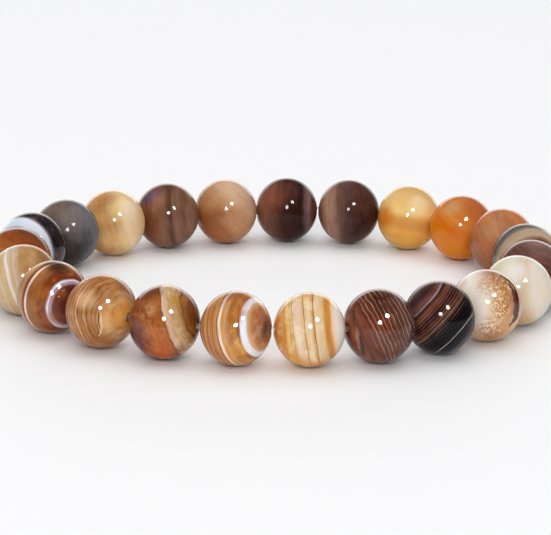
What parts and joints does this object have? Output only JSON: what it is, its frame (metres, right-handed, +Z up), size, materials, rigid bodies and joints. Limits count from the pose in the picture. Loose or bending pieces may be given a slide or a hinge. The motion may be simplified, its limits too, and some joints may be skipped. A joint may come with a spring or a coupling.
{
  "type": "agate bead bracelet",
  "caption": "Stretch bracelet of round polished banded agate beads threaded on a clear elastic cord, lying flat in an oval ring.",
  "frame": {"origin": "under the middle of the ring, on the surface that the beads rest on", "axes": "+X to the right as the picture sees it, the ring's longer side; +Y away from the viewer; +Z up, through the opening for the wrist"},
  "size_m": [0.0673, 0.0626, 0.008],
  "materials": {
    "agate_amber_brown": "high polish, translucent, banded",
    "agate_pale_cream": "high polish, translucent, banded",
    "agate_dark_brown_fine_line": "high polish, fine pale lines",
    "agate_black_brown": "high polish, fine tan lines",
    "agate_speckled_white": "high polish, rusty speckles",
    "agate_ivory": "high polish, translucent",
    "agate_mauve_brown": "high polish, banded",
    "agate_beige_and_grey": "high polish, banded",
    "agate_terracotta": "high polish, banded",
    "agate_vivid_orange": "high polish, translucent",
    "agate_honey": "high polish, translucent",
    "agate_dark_brown": "high polish, banded",
    "agate_plum_brown": "high polish, banded",
    "agate_peach_tan": "high polish, translucent",
    "agate_umber": "high polish, banded",
    "agate_golden_tan": "high polish, translucent, banded",
    "agate_charcoal": "high polish",
    "agate_black_and_white": "high polish, banded",
    "agate_brown_orange": "high polish, banded",
    "agate_clear_tan": "high polish, translucent, banded",
    "agate_chestnut": "high polish, pale line bands",
    "agate_caramel": "high polish, curved bands",
    "agate_rust_and_olive": "high polish, banded",
    "clear_elastic": "clear, smooth"
  },
  "bodies": {
    "root": {"bead_01": "agate_amber_brown", "bead_02": "agate_pale_cream", "bead_03": "agate_dark_brown_fine_line", "bead_04": "agate_black_brown", "bead_05": "agate_speckled_white", "bead_06": "agate_ivory", "bead_07": "agate_mauve_brown", "bead_08": "agate_beige_and_grey", "bead_09": "agate_terracotta", "bead_10": "agate_vivid_orange", "bead_11": "agate_honey", "bead_12": "agate_dark_brown", "bead_13": "agate_plum_brown", "bead_14": "agate_peach_tan", "bead_15": "agate_umber", "bead_16": "agate_golden_tan", "bead_17": "agate_charcoal", "bead_18": "agate_black_and_white", "bead_19": "agate_brown_orange", "bead_20": "agate_clear_tan", "bead_21": "agate_chestnut", "bead_22": "agate_caramel", "bead_23": "agate_rust_and_olive", "elastic_cord": "clear_elastic"}
  },
  "joints": []
}
